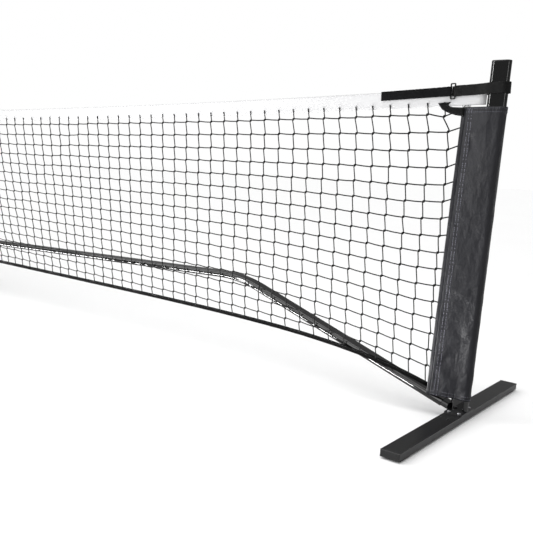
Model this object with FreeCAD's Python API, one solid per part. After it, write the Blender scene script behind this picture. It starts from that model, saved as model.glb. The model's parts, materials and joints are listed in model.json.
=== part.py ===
"""Portable court net: two posts on long feet, an arched bottom rail in six sections, and a net on sleeves.

The frame is +Z up, X along the net and Y across it. The origin is on the floor, midway between the posts.
Each side is modelled at negative X and mirrored, so a name with "left" is the modelled one.
"""
import FreeCAD, Part

import math
import os

V = FreeCAD.Vector

# ---- driving dimensions, in millimetres and degrees -------------------------------------------------
POST_SPACING = 6706.0  # post centre to post centre, 22 ft
POST_TOP = 981.0
POST_WIDE = 52.0
POST_THICK = 25.0
POST_WALL = 1.6
POST_CAP = 3.0
POST_CAP_ROUND = 1.2
POST_PLUG = 20.0

FOOT_LENGTH = 834.0
CENTRE_FOOT_LENGTH = 500.0
FOOT_WIDE = 54.0
FOOT_BOTTOM = 5.0
FOOT_TOP = 25.0
FOOT_WALL = 1.5
FOOT_ROUND = 1.2
END_CAP = 5.0
END_PLUG = 18.0
CAP_ROUND = 1.5
PLUG_CLEAR = 0.1
PAD_LENGTH = 60.0
PAD_INSET = 12.0
PAD_MARGIN = 4.0  # the pad is this much narrower than the foot, each side
PAD_ROUND = 4.0

PLATE_LENGTH = 96.0
PLATE_THICK = 4.0
PLATE_ROUND = 5.0
BOLT_ACROSS = 15.0  # half the bolt spacing along X
BOLT_ALONG = 36.0  # half the bolt spacing along Y
BOLT_RADIUS = 3.0
BOLT_HOLE = 3.3
BOLT_HEAD_RADIUS = 5.5
BOLT_HEAD = 3.4
BOLT_HEAD_ROUND = 2.0
NUT_RADIUS = 5.8
NUT_HEIGHT = 5.0

RAIL_WIDE = 50.0
RAIL_THICK = 22.0
RAIL_WALL = 1.5
RAIL_TOE_Z = 35.0  # centre height where the rail reaches the post
RAIL_BEND_Z = 304.0  # height of the corner between the sloping and the level run
RAIL_CENTRE_Z = 225.0
RAIL_BEND_OFFSET = 836.0  # from the post centre to that corner, along X
RAIL_BEND_RADIUS = 500.0
RAIL_TOE_TRIM = 24.0  # the end rail stops this far short of the post
SEAM_AT = (520.0, 1540.0)  # joints along the level run, from the corner
SLIP_GAP = 0.4  # between a tube and the spigot inside it
STUB_HEIGHT = 120.0
STUB_LENGTH = 130.0
SPIGOT_LENGTH = 160.0
SPIGOT_WALL = 1.5
SOCKET_LENGTH = 90.0
CENTRE_GAP = 3.0  # between each inner rail and the centre
SOCKET_WALL = 2.0
LUG_GAP = 1.5  # between the rail stub's lug and the post
LUG_PAST_FOOT = 18.0
LEG_WIDE = 44.0

BUTTON_BACK = 34.0  # a button sits this far before its seam
SOCKET_BUTTON_BACK = 48.0
BUTTON_RADIUS = 4.0
BUTTON_PROUD = 3.0
BUTTON_FLANGE_RADIUS = 6.0
BUTTON_FLANGE = 1.6
BUTTON_CLEAR = 0.35
BUTTON_ROUND = 1.2
SPRING_LEAF = 0.6
SPRING_WIDE = 8.0
SPRING_LONG = 34.0
SPRING_BACK = 3.0  # the leaves start this far behind the button

NET_TOP_END = 914.0  # 36 in at the posts
NET_TOP_CENTRE = 864.0  # 34 in at the centre
NET_SAG_POWER = 2.3  # above 2, more of the sag lies towards the posts
NET_EDGE = 92.0  # from the post centre to the sleeve's inner edge
HEADBAND = 46.0
HEADBAND_THICK = 6.0
HEADBAND_LAYER = 1.0
TENSION_TAPE = 20.0
TENSION_TAPE_THICK = 2.0
TOP_BIAS = 1.3  # how much closer together the headband's points are towards its ends
NET_BIAS = 2.2  # the same, for the mesh and the bottom band
NET_LEAN = 0.052  # how far the net hangs forward per unit of drop, to lie in front of the rail
SLEEVE_LEAN = 0.036  # the same at the sleeves
LEAN_GROWTH = 150.0  # how far from the sleeve most of the difference is reached
MESH_THICK = 1.0
MESH_GAP = 1.0  # between the mesh and each tape
MESH_INSET = 2.5  # between the mesh and the sleeve binding
POST_GAP = 4.0  # between the headband's end and the post
TAPE_GAP = 12.0  # between the tension tape's end and the post
BAND_MID_Z = 170.0  # bottom band, middle of the net
BAND_END_Z = 82.0  # bottom band, at the sleeve
BAND_RISE_LENGTH = 280.0  # how quickly the bottom band rises away from the sleeve
BAND_HEIGHT = 14.0
BAND_THICK = 3.0

SLEEVE_TOP = 866.0
SLEEVE_BOTTOM = 62.0
SLEEVE_PLY = 1.0
RAIL_ROOM = 4.0  # between the sleeve and the end rail that passes under its edge
SLEEVE_CLEAR = 2.0
SLEEVE_TIP_GAP = 0.4  # half the room between the plies where they close on the binding
SLEEVE_TIP_LAP = 0.5
SLEEVE_TIP_WALL = 1.5
BINDING_WIDE = 11.0
BINDING_THICK = 3.0
BINDING_GAP = 0.8  # between the binding and the sleeve's plies
TAB_FRONT = 4.4  # the corner tab lies this far in front of the headband's middle
TAB_THICK = 2.0
TAB_OUTLINE = (  # across from the sleeve's edge, and height
    (2.0, 842.0),
    (2.0, 865.0),
    (30.0, 867.0),
    (40.0, 871.0),
    (36.0, 878.0),
    (70.0, 876.0),
    (57.0, 860.0),
    (33.0, 849.0),
)

STRAP_HEIGHT = 28.0
STRAP_Z = 907.0  # strap centre height at the ring
STRAP_TILT = 2.7  # the strap rises towards the post by this angle
STRAP_PLY = 1.5
STRAP_CLEAR = 1.2
STRAP_SPREAD_AT = 66.0  # from the post centre to where the two runs come together
STRAP_LAP = 92.0  # from the post centre to the end of the back run
STRAP_RING_GAP = 2.2  # between the webbing and the ring's middle wire
RING_AT = 123.0  # ring centre from the post centre
RING_WIDE = 15.0
RING_TALL = 42.0
RING_WIRE = 3.0
RING_ROUND = 3.0
STRAP_FRONT = 5.0  # strap, ring and tail lie this far in front of the headband's middle
TAIL_LENGTH = 210.0
TAIL_HEIGHT = 25.0
TAIL_THICK = 2.0
TAIL_ROUND = 2.0
TAIL_RING_GAP = 2.4
TOUCH = 0.01  # for telling edges apart by place

# ---- worked-out places ---------------------------------------------------------------------------------
POST_X = POST_SPACING / 2
EDGE_X = POST_X - NET_EDGE
PLATE_TOP = FOOT_TOP + PLATE_THICK
BEND_X = POST_X - RAIL_BEND_OFFSET
TOE_X = POST_X - POST_WIDE / 2
RAIL_FALL = math.degrees(math.atan2(RAIL_BEND_Z - RAIL_CENTRE_Z, BEND_X))
RAIL_CLIMB = math.degrees(math.atan2(RAIL_BEND_Z - RAIL_TOE_Z, TOE_X - BEND_X))
LEVEL_RUN = math.hypot(BEND_X, RAIL_BEND_Z - RAIL_CENTRE_Z)
SLOPE_RUN = math.hypot(TOE_X - BEND_X, RAIL_BEND_Z - RAIL_TOE_Z)
SPIGOT_THICK = RAIL_THICK - 2 * (RAIL_WALL + SLIP_GAP)
SOCKET_BUTTON = LEVEL_RUN - SOCKET_BUTTON_BACK
Y_AXIS = V(0, 1, 0)


# ---- helpers -------------------------------------------------------------------------------------------
def box(low, high):
    """A box between two corners."""
    return Part.makeBox(high[0] - low[0], high[1] - low[1], high[2] - low[2], V(*low))


def upright_pin(place, radius, bottom, top):
    """An upright cylinder at an (x, y) place."""
    return Part.makeCylinder(radius, top - bottom, V(place[0], place[1], bottom))


def edges_at_height(shape, z):
    """The edges whose middle is at height z."""
    return [edge for edge in shape.Edges if abs(edge.CenterOfMass.z - z) < TOUCH]


def oval_face(wide, thick, side="yz"):
    """A flat oval around the origin: wide along Y and thick along Z, or wide along X and thick along Y."""
    radius = thick / 2
    reach = wide / 2 - radius

    def at(a, b):
        return V(0, a, b) if side == "yz" else V(a, b, 0)

    edges = [
        Part.LineSegment(at(-reach, -radius), at(reach, -radius)).toShape(),
        Part.Arc(at(reach, -radius), at(reach + radius, 0), at(reach, radius)).toShape(),
        Part.LineSegment(at(reach, radius), at(-reach, radius)).toShape(),
        Part.Arc(at(-reach, radius), at(-reach - radius, 0), at(-reach, -radius)).toShape(),
    ]
    return Part.Face(Part.Wire(edges))


def oval_bar(wide, thick, start, end):
    """A solid oval bar along X from start to end."""
    bar = oval_face(wide, thick).extrude(V(end - start, 0, 0))
    bar.translate(V(start, 0, 0))
    return bar


def oval_tube(wide, thick, wall, start, end):
    """A hollow oval tube along X."""
    outer = oval_bar(wide, thick, start, end)
    return outer.cut(oval_bar(wide - 2 * wall, thick - 2 * wall, start, end))


def upright_oval_tube(wide, thick, wall, bottom, top):
    """A hollow oval tube along Z, wide along X."""
    outer = oval_face(wide, thick, "xy").extrude(V(0, 0, top - bottom))
    inner = oval_face(wide - 2 * wall, thick - 2 * wall, "xy").extrude(V(0, 0, top - bottom))
    tube = outer.cut(inner)
    tube.translate(V(0, 0, bottom))
    return tube


def placed(shape, point, angle=0.0):
    """The shape turned about Y by an angle, then moved to a point."""
    place = FreeCAD.Placement(V(*point), FreeCAD.Rotation(Y_AXIS, angle))
    return shape.transformed(place.toMatrix(), True)


def on_level_run(shape, along):
    """A shape made along X at the origin, moved onto the level run of the left rail."""
    fall = math.radians(RAIL_FALL)
    x = -BEND_X + along * math.cos(fall)
    z = RAIL_BEND_Z - along * math.sin(fall)
    return placed(shape, (x, 0, z), RAIL_FALL)


def mirrored(shape):
    """The same piece on the right side."""
    return shape.mirror(V(0, 0, 0), V(1, 0, 0))


def strip(outline, half_thick, y=0.0):
    """An outline of (x, z) points, as a slab about the plane at y."""
    points = [V(x, y - half_thick, z) for x, z in outline]
    wire = Part.makePolygon(points + points[:1])
    return Part.Face(wire).extrude(V(0, 2 * half_thick, 0))


def lean_y(z, x=EDGE_X):
    """Where the hanging net is, across, at height z. It leans further forward away from the sleeves."""
    grown = 1 - math.exp((abs(x) - EDGE_X) / LEAN_GROWTH)
    lean = SLEEVE_LEAN + (NET_LEAN - SLEEVE_LEAN) * grown
    return -lean * (NET_TOP_END - HEADBAND - z)


def hanging_strip(places, low, high, half_thick):
    """A thin strip of the hanging net, between two lines that are given as heights at each place along X."""
    sections = []
    for x in places:
        bottom, top = low(x), high(x)
        low_y, high_y = lean_y(bottom, x), lean_y(top, x)
        corners = [
            V(x, low_y - half_thick, bottom),
            V(x, low_y + half_thick, bottom),
            V(x, high_y + half_thick, top),
            V(x, high_y - half_thick, top),
        ]
        sections.append(Part.makePolygon(corners + corners[:1]))
    return Part.makeLoft(sections, True, True)


def net_top(x):
    """Height of the headband's upper edge, which sags towards the centre."""
    sag = NET_TOP_END - NET_TOP_CENTRE
    return NET_TOP_CENTRE + sag * (abs(x) / EDGE_X) ** NET_SAG_POWER


def band_bottom(x):
    """Height of the bottom band's lower edge, which rises away from each sleeve."""
    inward = EDGE_X - abs(x)
    return BAND_MID_Z - (BAND_MID_Z - BAND_END_Z) * math.exp(-inward / BAND_RISE_LENGTH)


def stations(reach, bias):
    """Places along X from -reach to reach, closer together towards the ends."""
    half = 12
    inner = [reach * (1 - (1 - step / half) ** bias) for step in range(half + 1)]
    return [-x for x in reversed(inner)] + inner[1:]


# ---- feet and post bases ---------------------------------------------------------------------------------
def foot_beam(x, length, holes):
    """A rectangular tube across the court, open at its ends for the caps."""
    half = length / 2 - END_CAP
    low, high = x - FOOT_WIDE / 2, x + FOOT_WIDE / 2
    beam = box((low, -half, FOOT_BOTTOM), (high, half, FOOT_TOP))
    hollow = box(
        (low + FOOT_WALL, -half, FOOT_BOTTOM + FOOT_WALL),
        (high - FOOT_WALL, half, FOOT_TOP - FOOT_WALL),
    )
    beam = beam.cut(hollow)
    corner_edges = [edge for edge in beam.Edges if is_outer_corner(edge, low, high)]
    beam = beam.makeFillet(FOOT_ROUND, corner_edges)
    for place in holes:
        beam = beam.cut(upright_pin(place, BOLT_HOLE, FOOT_TOP - 2 * FOOT_WALL, FOOT_TOP + FOOT_WALL))
    return beam


def is_outer_corner(edge, low, high):
    """True for the four long outer edges of a beam."""
    middle = edge.CenterOfMass
    at_side = min(abs(middle.x - low), abs(middle.x - high)) < TOUCH
    at_face = min(abs(middle.z - FOOT_BOTTOM), abs(middle.z - FOOT_TOP)) < TOUCH
    return at_side and at_face and abs(middle.y) < TOUCH


def end_caps(x, length):
    """Two moulded caps: a flange over the tube's end and a plug inside it."""
    caps = []
    for sign in (-1, 1):
        inner = sign * (length / 2 - END_CAP)
        outer = sign * length / 2
        plug_end = inner - sign * END_PLUG
        flange = box(
            (x - FOOT_WIDE / 2, min(inner, outer), FOOT_BOTTOM),
            (x + FOOT_WIDE / 2, max(inner, outer), FOOT_TOP),
        )
        outer_edges = [edge for edge in flange.Edges if abs(edge.CenterOfMass.y - outer) < TOUCH]
        flange = flange.makeFillet(CAP_ROUND, outer_edges)
        inset = FOOT_WALL + PLUG_CLEAR
        side = FOOT_WIDE / 2 - inset
        plug = box(
            (x - side, min(inner, plug_end), FOOT_BOTTOM + inset),
            (x + side, max(inner, plug_end), FOOT_TOP - inset),
        )
        caps.append(flange.fuse(plug).removeSplitter())
    return caps


def foot_pads(x, length):
    """Two rubber pads under the ends of a foot."""
    pads = []
    side = FOOT_WIDE / 2 - PAD_MARGIN
    for sign in (-1, 1):
        near = sign * (length / 2 - PAD_INSET)
        far = near - sign * PAD_LENGTH
        pad = box((x - side, min(near, far), 0), (x + side, max(near, far), FOOT_BOTTOM))
        pads.append(pad.makeFillet(PAD_ROUND, edges_at_height(pad, FOOT_BOTTOM / 2)))
    return pads


def bolt_places(x):
    """The four bolts around one upright."""
    return [(x + i * BOLT_ACROSS, j * BOLT_ALONG) for i in (-1, 1) for j in (-1, 1)]


def base_plate(x):
    """A plate bolted on the foot, which carries the upright."""
    half_x, half_y = FOOT_WIDE / 2, PLATE_LENGTH / 2
    plate = box((x - half_x, -half_y, FOOT_TOP), (x + half_x, half_y, PLATE_TOP))
    plate = plate.makeFillet(PLATE_ROUND, edges_at_height(plate, FOOT_TOP + PLATE_THICK / 2))
    for place in bolt_places(x):
        plate = plate.cut(upright_pin(place, BOLT_HOLE, FOOT_TOP - 1, PLATE_TOP + 1))
    return plate


def bolts(x):
    """Round-headed bolts through the plate and the top wall of the foot."""
    made = []
    bottom = FOOT_TOP - FOOT_WALL - NUT_HEIGHT
    for place in bolt_places(x):
        shank = upright_pin(place, BOLT_RADIUS, bottom, PLATE_TOP)
        head = upright_pin(place, BOLT_HEAD_RADIUS, PLATE_TOP, PLATE_TOP + BOLT_HEAD)
        rim = [edge for edge in head.Edges if edge.Closed and edge.CenterOfMass.z > PLATE_TOP + TOUCH]
        head = head.makeFillet(BOLT_HEAD_ROUND, rim)
        made.append(shank.fuse(head).removeSplitter())
    return made


def nuts(x):
    """Hexagon nuts inside the foot."""
    made = []
    bottom = FOOT_TOP - FOOT_WALL - NUT_HEIGHT
    for place in bolt_places(x):
        turns = [math.radians(60 * step) for step in range(7)]
        corners = [V(math.cos(turn), math.sin(turn), 0) * NUT_RADIUS for turn in turns]
        nut = Part.Face(Part.makePolygon(corners)).extrude(V(0, 0, NUT_HEIGHT))
        nut.translate(V(place[0], place[1], bottom))
        made.append(nut.cut(upright_pin(place, BOLT_RADIUS + PLUG_CLEAR, bottom, bottom + NUT_HEIGHT)))
    return made


# ---- posts -------------------------------------------------------------------------------------------------
def post_stub():
    """The spigot that stands on the plate, inside the foot of the post."""
    inset = 2 * (POST_WALL + SLIP_GAP)
    top = PLATE_TOP + STUB_HEIGHT
    stub = upright_oval_tube(POST_WIDE - inset, POST_THICK - inset, SPIGOT_WALL, PLATE_TOP, top)
    stub.translate(V(-POST_X, 0, 0))
    return stub


def post():
    """The oval post, from the plate to its cap."""
    tube = upright_oval_tube(POST_WIDE, POST_THICK, POST_WALL, PLATE_TOP, POST_TOP - POST_CAP)
    tube.translate(V(-POST_X, 0, 0))
    return tube


def post_cap():
    """A moulded cap, flush with the tube, with a plug inside it."""
    flange = oval_face(POST_WIDE, POST_THICK, "xy").extrude(V(0, 0, POST_CAP))
    rim = [edge for edge in flange.Edges if edge.BoundBox.ZMin > POST_CAP - TOUCH]
    flange = flange.makeFillet(POST_CAP_ROUND, rim)
    inset = 2 * (POST_WALL + PLUG_CLEAR)
    plug = oval_face(POST_WIDE - inset, POST_THICK - inset, "xy").extrude(V(0, 0, -POST_PLUG))
    cap = flange.fuse(plug).removeSplitter()
    cap.translate(V(-POST_X, 0, POST_TOP - POST_CAP))
    return cap


# ---- bottom rail -------------------------------------------------------------------------------------------
def bent_bar(wide, thick, seam):
    """The end rail's outline as a solid: a sloping run, a wide bend and a level run, around the corner."""
    turn = RAIL_CLIMB + RAIL_FALL
    tangent = RAIL_BEND_RADIUS * math.tan(math.radians(turn / 2))
    level = oval_bar(wide, thick, tangent, seam)
    bend = oval_face(wide, thick)
    bend.translate(V(tangent, 0, 0))
    bend = bend.revolve(V(tangent, 0, -RAIL_BEND_RADIUS), Y_AXIS, -turn)
    slope = oval_bar(wide, thick, -SLOPE_RUN + RAIL_TOE_TRIM, -tangent)
    slope.rotate(V(0, 0, 0), Y_AXIS, -turn)
    return level.fuse([bend, slope]).removeSplitter()


def end_rail():
    """The bent tube from the post's foot to the first seam."""
    outer = bent_bar(RAIL_WIDE, RAIL_THICK, SEAM_AT[0])
    inner = bent_bar(RAIL_WIDE - 2 * RAIL_WALL, RAIL_THICK - 2 * RAIL_WALL, SEAM_AT[0])
    return on_level_run(outer.cut(inner), 0).cut(button_hole(SEAM_AT[0] - BUTTON_BACK))


def rail_stub():
    """A spigot for the end rail, on a lug that stands on the plate."""
    gap = RAIL_WALL + SLIP_GAP
    wide, thick = RAIL_WIDE - 2 * gap, RAIL_THICK - 2 * gap
    angle = -(RAIL_CLIMB + RAIL_FALL)
    tube = oval_tube(wide, thick, SPIGOT_WALL, -SLOPE_RUN - 10, -SLOPE_RUN + STUB_LENGTH)
    tube.rotate(V(0, 0, 0), Y_AXIS, angle)
    tube = on_level_run(tube, 0)
    face_x = -POST_X + POST_WIDE / 2 + LUG_GAP
    tube = tube.cut(box((face_x - wide, -wide, -wide), (face_x, wide, 4 * wide)))
    lug_end = -POST_X + FOOT_WIDE / 2 + LUG_PAST_FOOT
    lug = box((face_x, -wide / 4, PLATE_TOP), (lug_end, wide / 4, RAIL_TOE_Z))
    hollow = oval_bar(wide - 1, thick - 1, -SLOPE_RUN - 60, -SLOPE_RUN + STUB_LENGTH)
    hollow.rotate(V(0, 0, 0), Y_AXIS, angle)
    lug = lug.cut(on_level_run(hollow, 0))
    lug = max(lug.Solids, key=lambda solid: -solid.CenterOfMass.z)
    return tube.fuse(lug).removeSplitter()


def button_hole(along):
    """The hole for a snap button, through the underside of a tube."""
    hole = Part.makeCylinder(BUTTON_RADIUS + BUTTON_CLEAR, RAIL_THICK / 2 + 6, V(0, 0, -RAIL_THICK / 2 - 6))
    return on_level_run(hole, along)


def straight_rail(start, end, button_at):
    """A straight section of the level run."""
    tube = oval_tube(RAIL_WIDE, RAIL_THICK, RAIL_WALL, 0, end - start)
    return on_level_run(tube, start).cut(button_hole(button_at))


def spigot(seam):
    """The inner tube that joins two rail sections, with the button's hole."""
    wide = RAIL_WIDE - 2 * (RAIL_WALL + SLIP_GAP)
    tube = oval_tube(wide, SPIGOT_THICK, SPIGOT_WALL, -SPIGOT_LENGTH / 2, SPIGOT_LENGTH / 2)
    return on_level_run(tube, seam).cut(button_hole(seam - BUTTON_BACK))


def snap_button(along, seat_thick):
    """A button through the tube's underside, held in by its flange."""
    seat = -seat_thick / 2 + SPIGOT_WALL
    bottom = -RAIL_THICK / 2 - BUTTON_PROUD
    stem = Part.makeCylinder(BUTTON_RADIUS, seat - bottom, V(0, 0, bottom))
    rim = [edge for edge in stem.Edges if edge.Closed and edge.CenterOfMass.z < bottom + TOUCH]
    stem = stem.makeFillet(BUTTON_ROUND, rim)
    flange = Part.makeCylinder(BUTTON_FLANGE_RADIUS, BUTTON_FLANGE, V(0, 0, seat))
    return on_level_run(stem.fuse(flange).removeSplitter(), along)


def button_spring(along, seat_thick):
    """A folded leaf spring between the button's flange and the far wall."""
    low = -seat_thick / 2 + SPIGOT_WALL + BUTTON_FLANGE
    high = seat_thick / 2 - SPIGOT_WALL
    radius = (high - low) / 2
    middle = (high + low) / 2
    outer = Part.makeCylinder(radius, SPRING_WIDE, V(SPRING_LONG, -SPRING_WIDE / 2, middle), Y_AXIS)
    outer = outer.fuse(box((-SPRING_BACK, -SPRING_WIDE / 2, low), (SPRING_LONG, SPRING_WIDE / 2, high)))
    inner_radius = radius - SPRING_LEAF
    inner = Part.makeCylinder(inner_radius, SPRING_WIDE, V(SPRING_LONG, -SPRING_WIDE / 2, middle), Y_AXIS)
    leaf_gap = box(
        (-SPRING_BACK, -SPRING_WIDE / 2, low + SPRING_LEAF),
        (SPRING_LONG, SPRING_WIDE / 2, high - SPRING_LEAF),
    )
    return on_level_run(outer.cut(inner.fuse(leaf_gap)).removeSplitter(), along)


def centre_socket():
    """Two short collars in a shallow V, which hold the inner rails."""
    wide = RAIL_WIDE + 2 * (SOCKET_WALL + SLIP_GAP)
    thick = RAIL_THICK + 2 * (SOCKET_WALL + SLIP_GAP)
    past = thick / 2
    bar = oval_bar(wide, thick, -SOCKET_LENGTH, past)
    bore = oval_bar(wide - 2 * SOCKET_WALL, thick - 2 * SOCKET_WALL, -SOCKET_LENGTH, past)
    bar = on_level_run(bar, LEVEL_RUN)
    bore = on_level_run(bore, LEVEL_RUN)
    left_half = box((-2 * SOCKET_LENGTH, -wide, 0), (0, wide, 2 * RAIL_CENTRE_Z))
    bar = bar.common(left_half)
    bore = bore.common(left_half)
    collar = bar.fuse(mirrored(bar)).cut(bore.fuse(mirrored(bore)))
    holes = button_hole(SOCKET_BUTTON)
    return collar.cut(holes).cut(mirrored(holes)).removeSplitter()


def centre_leg():
    """The short upright between the centre foot and the centre socket."""
    top = RAIL_CENTRE_Z - RAIL_THICK / 2 - SOCKET_WALL - SLIP_GAP - PLUG_CLEAR
    return upright_oval_tube(LEG_WIDE, POST_THICK, POST_WALL, FOOT_TOP, top)


# ---- net ---------------------------------------------------------------------------------------------------
def headband():
    """A folded tape with an open lower edge, from post to post."""
    reach = POST_X - POST_WIDE / 2 - POST_GAP
    places = stations(reach, TOP_BIAS)
    upper = [(x, net_top(x)) for x in places]
    lower = [(x, z - HEADBAND) for x, z in reversed(upper)]
    cavity_top = [(x, z - HEADBAND_LAYER) for x, z in upper]
    cavity_low = [(x, z - HEADBAND - HEADBAND_THICK) for x, z in reversed(upper)]
    outer = strip(upper + lower, HEADBAND_THICK / 2)
    return outer.cut(strip(cavity_top + cavity_low, HEADBAND_THICK / 2 - HEADBAND_LAYER))


def tension_tape():
    """The flat webbing inside the headband, which carries the pull."""
    reach = POST_X - POST_WIDE / 2 - TAPE_GAP
    places = stations(reach, TOP_BIAS)
    upper = [(x, net_top(x) - 2 * HEADBAND_LAYER) for x in places]
    lower = [(x, z - TENSION_TAPE) for x, z in reversed(upper)]
    return strip(upper + lower, TENSION_TAPE_THICK / 2)


def mesh_bottom(x):
    """Height of the mesh panel's lower edge."""
    return band_bottom(x) + BAND_HEIGHT + MESH_GAP / 2


def mesh_top(x):
    """Height of the mesh panel's upper edge."""
    return net_top(x) - HEADBAND - MESH_GAP


def band_top(x):
    """Height of the bottom band's upper edge."""
    return band_bottom(x) + BAND_HEIGHT


def net_mesh():
    """The knotted mesh as one thin panel between the headband and the bottom band."""
    places = stations(EDGE_X - MESH_INSET, NET_BIAS)
    return hanging_strip(places, mesh_bottom, mesh_top, MESH_THICK / 2)


def bottom_band():
    """The tape along the net's lower edge."""
    places = stations(EDGE_X - MESH_INSET, NET_BIAS)
    return hanging_strip(places, band_bottom, band_top, BAND_THICK / 2)


def sleeve_section(z, ply):
    """The sleeve's outline at height z: round the post, then tapering to the binding. ply is added outside."""
    radius = POST_THICK / 2 + SLEEVE_CLEAR + ply
    reach = (POST_WIDE - POST_THICK) / 2
    tip_x = NET_EDGE - BINDING_WIDE + (SLEEVE_TIP_LAP if ply else -SLEEVE_TIP_WALL)
    tip_y = lean_y(z)
    half = SLEEVE_TIP_GAP + ply
    tip_front, tip_back = tip_y - half, tip_y + half
    back = tangent_point(reach, radius, tip_x, tip_back)
    lift = (math.pi / 2 + math.atan2(back[1], back[0] - reach)) / 2
    between = (reach + radius * math.cos(lift), radius * math.sin(lift))

    def at(x, y):
        return V(x - POST_X, y, z)

    edges = [
        Part.LineSegment(at(-reach, -radius), at(reach, -radius)).toShape(),
        Part.LineSegment(at(reach, -radius), at(tip_x, tip_front)).toShape(),
        Part.LineSegment(at(tip_x, tip_front), at(tip_x, tip_back)).toShape(),
        Part.LineSegment(at(tip_x, tip_back), at(*back)).toShape(),
        Part.Arc(at(*back), at(*between), at(reach, radius)).toShape(),
        Part.LineSegment(at(reach, radius), at(-reach, radius)).toShape(),
        Part.Arc(at(-reach, radius), at(-reach - radius, 0), at(-reach, -radius)).toShape(),
    ]
    return Part.Wire(edges)


def tangent_point(centre_x, radius, x, y):
    """Where a line from (x, y) touches the far side of a circle on the X axis."""
    run, rise = x - centre_x, y
    distance = math.hypot(run, rise)
    angle = math.atan2(rise, run) + math.acos(radius / distance)
    return centre_x + radius * math.cos(angle), radius * math.sin(angle)


def under_rail():
    """The space of the sloping rail and all below it, with room around it."""
    climb = math.radians(RAIL_CLIMB)
    rise = (RAIL_THICK / 2 + RAIL_ROOM) / math.cos(climb)
    start_x = -POST_X + POST_WIDE / 2 + SLEEVE_CLEAR + SLEEVE_PLY
    start_z = RAIL_TOE_Z + rise
    end_x = -EDGE_X + NET_EDGE / 2
    end_z = start_z + (end_x - start_x) * math.tan(climb)
    outline = [(start_x, 0), (start_x, start_z), (end_x, end_z), (end_x, 0)]
    return strip(outline, RAIL_WIDE / 2 + RAIL_ROOM)


def sleeve():
    """The fabric pocket that slips over the post, with its lower edge open to the rail."""
    ends = (SLEEVE_BOTTOM, SLEEVE_TOP)
    past_ends = (SLEEVE_BOTTOM - SLEEVE_PLY, SLEEVE_TOP + SLEEVE_PLY)
    outer = Part.makeLoft([sleeve_section(z, SLEEVE_PLY) for z in ends], True, True)
    inner = Part.makeLoft([sleeve_section(z, 0) for z in past_ends], True, True)
    return outer.cut(inner).cut(under_rail())


def sleeve_binding():
    """The folded tape that closes the sleeve's inner edge and holds the mesh."""
    x_low = -EDGE_X - BINDING_WIDE + BINDING_GAP
    x_high = -EDGE_X + MESH_INSET - MESH_GAP
    sections = []
    for z in (SLEEVE_BOTTOM, SLEEVE_TOP):
        front = lean_y(z) - BINDING_THICK / 2
        back = lean_y(z) + BINDING_THICK / 2
        corners = [V(x_low, front, z), V(x_high, front, z), V(x_high, back, z), V(x_low, back, z)]
        sections.append(Part.makePolygon(corners + corners[:1]))
    return Part.makeLoft(sections, True, True)


def corner_tab():
    """The reinforcing tab between the sleeve's top and the headband."""
    outline = [(-EDGE_X + inward, z) for inward, z in TAB_OUTLINE]
    return strip(outline, TAB_THICK / 2, y=-TAB_FRONT)


def strap_frame(shape):
    """A strap piece made at its own level, moved to the ring and tilted up towards the post."""
    return placed(shape, (RING_AT - POST_X, -STRAP_FRONT, STRAP_Z), STRAP_TILT)


def strap_run(radius, front, back, end):
    """One face of the webbing seen from above, from the ring round the post to the lapped end."""
    post_x = -RING_AT
    spread_x = post_x + STRAP_SPREAD_AT
    reach = (POST_WIDE - POST_THICK) / 2
    middle = STRAP_FRONT
    ring_x = -RING_WIDE / 2 + RING_WIRE / 2 - STRAP_RING_GAP
    near = [
        V(ring_x, front, 0),
        V(spread_x, front, 0),
        V(post_x + reach, middle - radius, 0),
        V(post_x - reach, middle - radius, 0),
    ]
    turn = V(post_x - reach - radius, middle, 0)
    far = [
        V(post_x - reach, middle + radius, 0),
        V(post_x + reach, middle + radius, 0),
        V(spread_x, back, 0),
        V(end, back, 0),
    ]
    edges = [Part.LineSegment(a, b).toShape() for a, b in zip(near, near[1:])]
    edges.append(Part.Arc(near[-1], turn, far[0]).toShape())
    edges += [Part.LineSegment(a, b).toShape() for a, b in zip(far, far[1:])]
    return edges, near[0], far[-1]


def strap_webbing():
    """The webbing from the headband's back, round the post and forward to the ring."""
    radius = POST_THICK / 2 + STRAP_CLEAR
    half = STRAP_PLY / 2
    back = 2 * STRAP_FRONT
    end = STRAP_LAP - RING_AT
    outer, outer_start, outer_end = strap_run(radius + STRAP_PLY, -half, back + half, end)
    inner, inner_start, inner_end = strap_run(radius, half, back - half, end)
    closing = [
        Part.LineSegment(outer_end, inner_end).toShape(),
        Part.LineSegment(inner_start, outer_start).toShape(),
    ]
    outline = outer + closing[:1] + inner[::-1] + closing[1:]
    webbing = Part.Face(Part.Wire(outline)).extrude(V(0, 0, STRAP_HEIGHT))
    webbing.translate(V(0, 0, -STRAP_HEIGHT / 2))
    return strap_frame(webbing)


def strap_ring():
    """A rectangular wire ring between the webbing and the tail."""
    half_wide, half_tall, wire = RING_WIDE / 2, RING_TALL / 2, RING_WIRE / 2
    frame = box((-half_wide, -wire, -half_tall), (half_wide, wire, half_tall))
    frame = frame.makeFillet(RING_ROUND, [edge for edge in frame.Edges if abs(edge.CenterOfMass.y) < TOUCH])
    window = box(
        (-half_wide + RING_WIRE, -wire, -half_tall + RING_WIRE),
        (half_wide - RING_WIRE, wire, half_tall - RING_WIRE),
    )
    return strap_frame(frame.cut(window))


def strap_tail():
    """The hook-and-loop tail, which peels off the headband about the ring's inner bar."""
    start = RING_WIDE / 2 - RING_WIRE / 2 + TAIL_RING_GAP
    half_thick, half_tall = TAIL_THICK / 2, TAIL_HEIGHT / 2
    tail = box((start, -half_thick, -half_tall), (start + TAIL_LENGTH, half_thick, half_tall))
    across = [edge for edge in tail.Edges if abs(edge.CenterOfMass.y) < TOUCH]
    corners = [edge for edge in across if edge.CenterOfMass.x > start + TOUCH]
    return strap_frame(tail.makeFillet(TAIL_ROUND, corners))


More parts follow.
